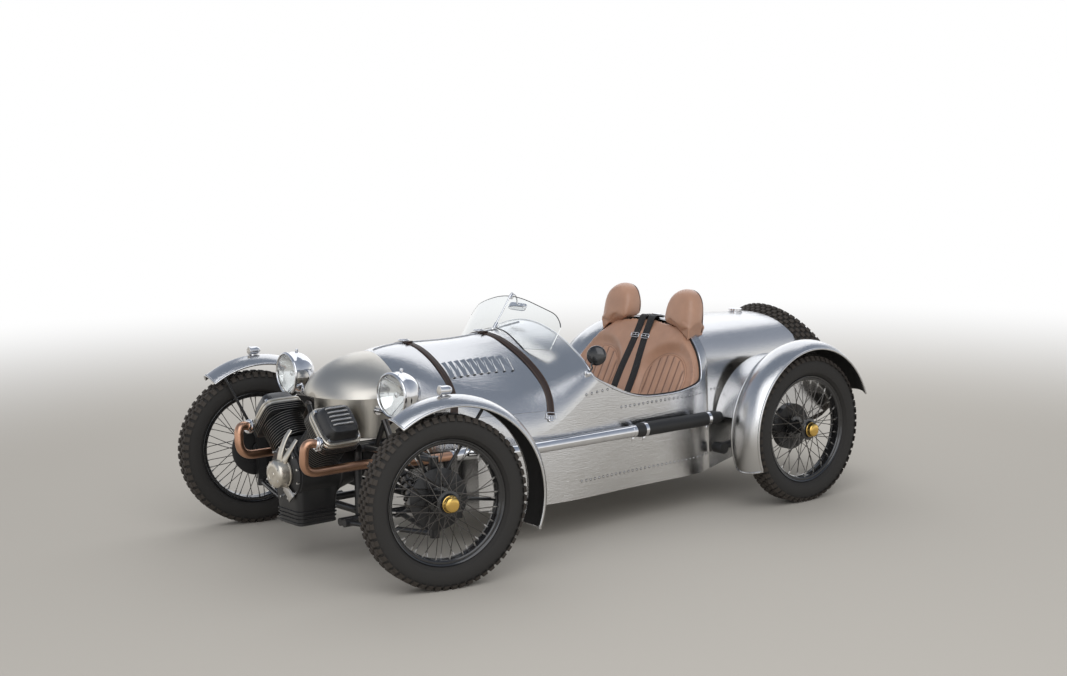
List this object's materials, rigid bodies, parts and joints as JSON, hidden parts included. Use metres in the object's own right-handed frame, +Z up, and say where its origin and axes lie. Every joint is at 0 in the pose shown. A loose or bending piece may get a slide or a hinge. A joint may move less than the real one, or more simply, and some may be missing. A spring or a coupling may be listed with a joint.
{
  "type": "open four-wheeled sports car",
  "caption": "Open two-seat sports car with a polished body, engine out in front, cycle wings, wire wheels, side exhausts and a spare wheel on its barrel tail.",
  "frame": {"origin": "on the ground under the middle of the car's length, on its centre plane", "axes": "+X towards the tail, +Y towards the car's right, +Z up; the front wheels are steered as in the picture"},
  "size_m": [3.3172, 1.7649, 1.0432],
  "materials": {
    "polished_aluminium": "polished bare sheet",
    "brushed_aluminium": "brushed bare sheet",
    "leather": "tan leather, stitched and pleated",
    "black_paint": "satin black",
    "tyre_rubber": "block tread rubber",
    "wheel_black": "gloss black with a brass cap",
    "copper": "heat-tinted copper colour",
    "chrome": "polished",
    "clear_glass": "clear",
    "lamp_glass": "clear fluted",
    "red_glass": "red",
    "brown_leather": "dark brown strap",
    "black_webbing": "woven belt",
    "engine_black": "black fins with bright edges",
    "engine_silver": "cast",
    "silencer_black": "heatproof black"
  },
  "bodies": {
    "chassis": {"chassis_frame": "black_paint", "body_tub": "polished_aluminium", "nose_cowl": "brushed_aluminium", "bonnet": "polished_aluminium", "tail_shell": "polished_aluminium", "seat_back": "leather", "seat_cushion": "leather", "headrests": "leather", "seat_belts": "black_webbing", "windscreen": "clear_glass", "screen_fittings": "chrome", "side_mirror": "black_paint", "dashboard": "brushed_aluminium", "steering_column": "black_paint", "steering_gear": "black_paint", "engine_case": "engine_black", "cylinders": "engine_black", "rocker_covers": "engine_black", "front_cover": "engine_silver", "exhaust_headers": "copper", "side_pipes": "chrome", "silencers": "silencer_black", "headlamp_shells": "chrome", "headlamp_lenses": "lamp_glass", "front_wishbones": "black_paint", "front_dampers": "black_paint", "rear_axle": "black_paint", "rear_arms": "black_paint", "rear_wings": "polished_aluminium", "fuel_cap": "chrome", "bonnet_straps": "brown_leather", "tail_lamps": "red_glass", "spare_tyre": "tyre_rubber", "spare_wheel": "wheel_black"},
    "steering_wheel": {"steering_wheel": "black_paint"},
    "steering_rods": {"steering_rods": "black_paint"},
    "knuckle_left": {"knuckle_left": "black_paint", "wing_front_left": "polished_aluminium"},
    "wheel_front_left": {"tyre_front_left": "tyre_rubber", "wheel_front_left": "wheel_black"},
    "wheel_rear_left": {"tyre_rear_left": "tyre_rubber", "wheel_rear_left": "wheel_black"},
    "knuckle_right": {"knuckle_right": "black_paint", "wing_front_right": "polished_aluminium"},
    "wheel_front_right": {"tyre_front_right": "tyre_rubber", "wheel_front_right": "wheel_black"},
    "wheel_rear_right": {"tyre_rear_right": "tyre_rubber", "wheel_rear_right": "wheel_black"}
  },
  "joints": [
    {"name": "steer_left", "type": "hinge", "parent": "chassis", "child": "knuckle_left", "pos_m": [-1.29, -0.665, 0.35], "axis": [0, 0, 1], "range_deg": [-14, 36]},
    {"name": "steer_right", "type": "hinge", "parent": "chassis", "child": "knuckle_right", "pos_m": [-1.29, 0.665, 0.35], "axis": [0, 0, 1], "range_deg": [-14.2, 36.3]},
    {"name": "rack_slide", "type": "slide", "parent": "chassis", "child": "steering_rods", "axis": [0, 1, 0], "range_m": [-0.0274, 0.0683]},
    {"name": "steering_wheel_turn", "type": "hinge", "parent": "chassis", "child": "steering_wheel", "pos_m": [-0.1, 0.2, 0.69], "axis": [0.9666, 0, 0.2562], "range_deg": [-169, 433]},
    {"name": "spin_front_left", "type": "hinge", "parent": "knuckle_left", "child": "wheel_front_left", "pos_m": [-1.30717, -0.75335, 0.35], "axis": [0.1908, 0.9816, 0], "continuous": true},
    {"name": "spin_rear_left", "type": "hinge", "parent": "chassis", "child": "wheel_rear_left", "pos_m": [0.9, -0.65, 0.35], "axis": [0, 1, 0], "continuous": true},
    {"name": "spin_front_right", "type": "hinge", "parent": "knuckle_right", "child": "wheel_front_right", "pos_m": [-1.27283, 0.75335, 0.35], "axis": [0.1908, 0.9816, 0], "continuous": true},
    {"name": "spin_rear_right", "type": "hinge", "parent": "chassis", "child": "wheel_rear_right", "pos_m": [0.9, 0.65, 0.35], "axis": [0, 1, 0], "continuous": true}
  ],
  "couplings": [
    {"joint": "steer_right", "follows": "steer_left", "ratio": 1},
    {"joint": "rack_slide", "follows": "steer_left", "m_per_rad": 0.10655},
    {"joint": "steering_wheel_turn", "follows": "steer_left", "ratio": 12}
  ]
}
